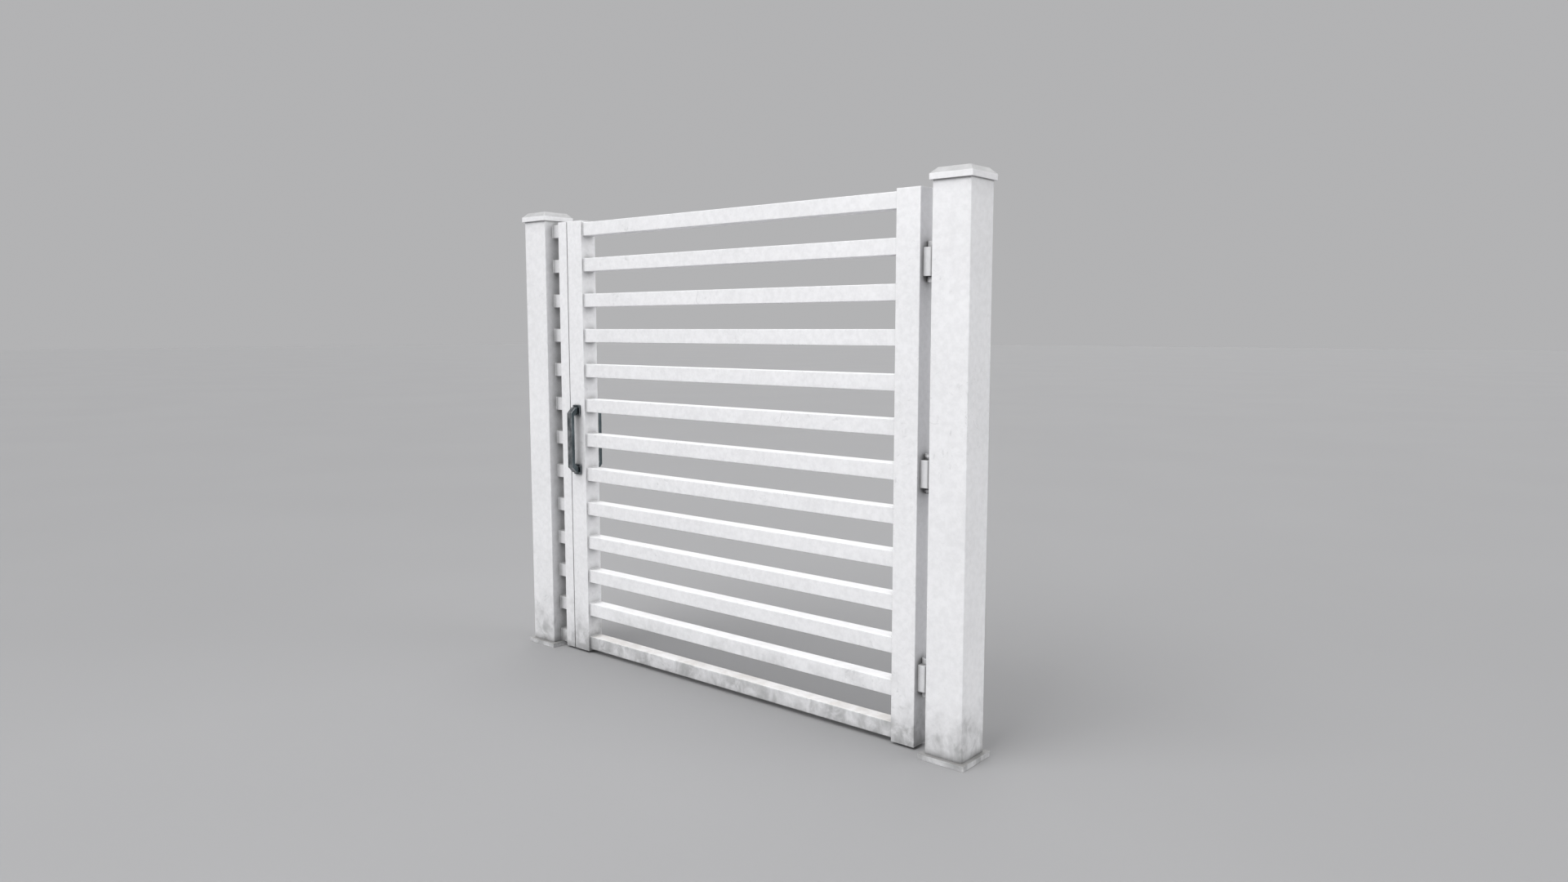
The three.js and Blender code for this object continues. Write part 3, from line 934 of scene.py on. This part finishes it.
def add_bracket_screws(number, plate_front, pin):
    """Four button-head screws with hexagon sockets on the bracket's plate."""
    bm = bmesh.new()
    head = SCREW_HEAD_RADIUS
    tall = SCREW_HEAD_HEIGHT
    for side in (-1, 1):
        for level in (-1, 1):
            centre = (plate_front, pin.y + side * BRACKET_SCREW_Y, pin.z + level * BRACKET_SCREW_Z)
            lathe(bm, centre, "x", [
                (head * 0.9, -SCREW_SINK, False, 0),
                (head, 0.0, False, 0),
                (head, tall * 0.22, False, 0.3),
                (head * 0.92, tall * 0.52, False, 0.3),
                (head * 0.76, tall * 0.82, False, 0.2),
                (head * 0.58, tall, False, 0.4),
                (SCREW_SOCKET * 1.08, tall, True, 0.6),
                (SCREW_SOCKET, tall * 0.92, True, 0),
                (SCREW_SOCKET, tall * 0.35, True, 0),
                (SCREW_SOCKET * 0.3, tall * 0.2, False, 0),
            ], -1)
    finish_mesh(f"hinge_{number}_bracket_screws", bm, pin_steel, POSTS, [])


def add_washers(number, pin):
    """Nylon washers that fill the gaps between the block and the bracket's arms."""
    block_low, block_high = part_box(f"hinge_{number}_block")
    bracket_low, bracket_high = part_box(f"hinge_{number}_bracket")
    gaps = [
        (block_high.z, bracket_high.z - ARM_THICKNESS),
        (bracket_low.z + ARM_THICKNESS, block_low.z),
    ]
    bore = PIN_RADIUS + FIT_GAP
    bm = bmesh.new()
    for bottom, top in gaps:
        slack = 0.1 * (top - bottom)
        loft(bm, turned_rings((pin.x, pin.y, 0), "z", [
            (WASHER_RADIUS, bottom + 2 * slack, False, 0),
            (WASHER_RADIUS, top - 2 * slack, False, 0),
            (WASHER_RADIUS - slack, top - slack, False, 0),
            (bore, top - slack, False, 0),
            (bore, bottom + slack, False, 0),
            (WASHER_RADIUS - slack, bottom + slack, False, 0),
        ]), True)
    finish_mesh(f"hinge_{number}_washers", bm, nylon, POSTS, [])


def add_hinge_pin(number):
    """A pin with a flush round head, a hexagon socket and a chamfered tip."""
    node = f"hinge_{number}_pin"
    low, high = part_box(node)
    centre = ((low.x + high.x) / 2, (low.y + high.y) / 2, 0)
    head_bottom = high.z - PIN_HEAD_HEIGHT
    bm = bmesh.new()
    lathe(bm, centre, "z", [
        (PIN_RADIUS - PIN_TIP_CHAMFER, low.z, False, 0.4),
        (PIN_RADIUS, low.z + PIN_TIP_CHAMFER, False, 0.2),
        (PIN_RADIUS, head_bottom, False, 0),
        (PIN_HEAD_RADIUS, head_bottom, False, 0),
        (PIN_HEAD_RADIUS, high.z - PIN_HEAD_CHAMFER, False, 0.3),
        (PIN_HEAD_RADIUS - PIN_HEAD_CHAMFER, high.z, False, 0.5),
        (PIN_SOCKET * 1.08, high.z, True, 0.5),
        (PIN_SOCKET, high.z - PIN_SOCKET_CHAMFER, True, 0),
        (PIN_SOCKET, high.z - PIN_SOCKET_WALL, True, 0),
        (PIN_SOCKET * 0.3, high.z - PIN_SOCKET_DEPTH, False, 0),
    ])
    finish_mesh(f"{node}_turned", bm, pin_steel, POSTS, [node])


# ---------------------------------------------------------------- pulls

def pull_outline(reach, half_height):
    """The pull's side view, as (distance out from the roses, height from the middle)."""
    inner = reach - PULL_BAR_DEPTH
    foot = half_height - PULL_FOOT_HEIGHT
    return [
        (0, -foot),
        (inner - PULL_INNER_CHAMFER, -foot),
        (inner, PULL_INNER_CHAMFER - foot),
        (inner, foot - PULL_INNER_CHAMFER),
        (inner - PULL_INNER_CHAMFER, foot),
        (0, foot),
        (0, half_height),
        (reach - PULL_CHAMFER, half_height),
        (reach, half_height - PULL_CHAMFER),
        (reach, PULL_CHAMFER - half_height),
        (reach - PULL_CHAMFER, -half_height),
        (0, -half_height),
    ]


def add_pull(side):
    """A D-shaped pull cut from bar, with broken edges, and its two square roses."""
    node = f"{side}_pull"
    low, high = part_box(node)
    sign = -1 if side == "front" else 1
    root = high.y if side == "front" else low.y
    middle = (low.z + high.z) / 2
    outline = pull_outline(high.y - low.y, (high.z - low.z) / 2)
    bm = bmesh.new()
    extrude_outline(bm, outline, low.x, high.x,
                    lambda a, b, along: (along, root + sign * a, middle + b))
    round_edges(bm, PULL_EDGE, 3, 20.0)
    sides = [face for face in bm.faces if abs(face.normal.x) > 0.99 and len(face.verts) > 8]
    inset_faces(bm, sides, FLAT_MARGIN)
    finish_mesh(f"{node}_bar", bm, satin_steel, LEAF, [node])
    for place in ("upper", "lower"):
        add_rose(f"{side}_pull_{place}_rose")


def add_rose(node):
    """A square rose with broken edges."""
    low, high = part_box(node)
    bm = bmesh.new()
    loft(bm, stack_rings((low, high), "y", [
        (WEAR_SHOULDER, low.y, ROSE_CORNER, 0),
        (0, low.y, ROSE_CORNER, 0),
        (0, (low.y + high.y) / 2, ROSE_CORNER, 0),
        (0, high.y, ROSE_CORNER, 0),
        (WEAR_SHOULDER, high.y, ROSE_CORNER, 0),
    ]), False)
    round_edges(bm, ROSE_EDGE, 3)
    finish_mesh(f"{node}_plate", bm, satin_steel, LEAF, [node])


# ---------------------------------------------------------------- the scene

make_camera()
make_world()
make_sun("key_light", direction=(0.30, 0.85, -0.80), strength=1.58, angle=50)
make_sun("overhead_light", direction=(0.0, 0.1, -1.0), strength=1.75, angle=60)
make_sun("side_light", direction=(-0.93, -0.35, -0.10), strength=1.50, angle=45)
make_sun("rear_fill", direction=(0.45, -0.85, -0.30), strength=0.70, angle=60)
make_softbox("front_softbox", place=(0.6, -2.4, 3.2), target=(0.4, 0.0, 0.9), size=1.6, power=28.0)
bpy.context.scene.view_settings.view_transform = "Standard"
make_floor()

white_coat = powder_coat("white_coat", COAT_WHITE, roughness=0.42, grime=True, dust=0.40, painted_slope_shade=0.0)
# The caps' coat gets painted shade on its slopes and tops
cap_coat = powder_coat("cap_coat", COAT_WHITE, roughness=0.40, grime=False, dust=0.10, painted_slope_shade=1.0)
hinge_coat = powder_coat("hinge_coat", HINGE_WHITE, roughness=0.38, grime=True, dust=0.10, painted_slope_shade=0.0)
plug_plastic = moulded_plastic("plug_plastic", PLUG_WHITE, roughness=0.55)
nylon = moulded_plastic("washer_nylon", NYLON_GREY, roughness=0.5)
satin_steel = brushed_steel("satin_steel", SLATE_STEEL, roughness=0.27, brush_scale=(900.0, 900.0, 14.0))
pin_steel = brushed_steel("pin_steel", ZINC_STEEL, roughness=0.34, brush_scale=(300.0, 300.0, 300.0))

for side in ("latch", "hinge"):
    add_foot(side)
    add_tube(f"{side}_post", POSTS, "z", POST_WALL, POST_CORNER)
    add_cap(side)
    add_tube(f"{side}_stile", LEAF, "z", FRAME_WALL, FRAME_CORNER)
    add_plug(f"{side}_stile_top_plug", LEAF, True)
    add_plug(f"{side}_stile_bottom_plug", LEAF, False)
add_tube("strike_jamb", POSTS, "z", FRAME_WALL, FRAME_CORNER)
add_plug("strike_jamb_top_plug", POSTS, True)
add_plug("strike_jamb_bottom_plug", POSTS, False)
for rail_number in RAIL_NUMBERS:
    add_tube(f"spacer_{rail_number}", POSTS, "x", RAIL_WALL, RAIL_CORNER)
    add_tube(f"rail_{rail_number}", LEAF, "x", RAIL_WALL, RAIL_CORNER)
add_welds("rail_welds", "rail", LEAF, RAIL_CORNER)
add_welds("spacer_welds", "spacer", POSTS, RAIL_CORNER)
for hinge_number in (1, 2, 3):
    add_hinge_block(hinge_number)
    add_hinge_bracket(hinge_number)
    add_hinge_pin(hinge_number)
for pull_side in ("front", "rear"):
    add_pull(pull_side)

for bolt_name in ("pull_upper_bolt", "pull_lower_bolt"):
    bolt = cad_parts[bolt_name]
    for bolt_slot in bolt.material_slots:
        bolt_slot.material = pin_steel
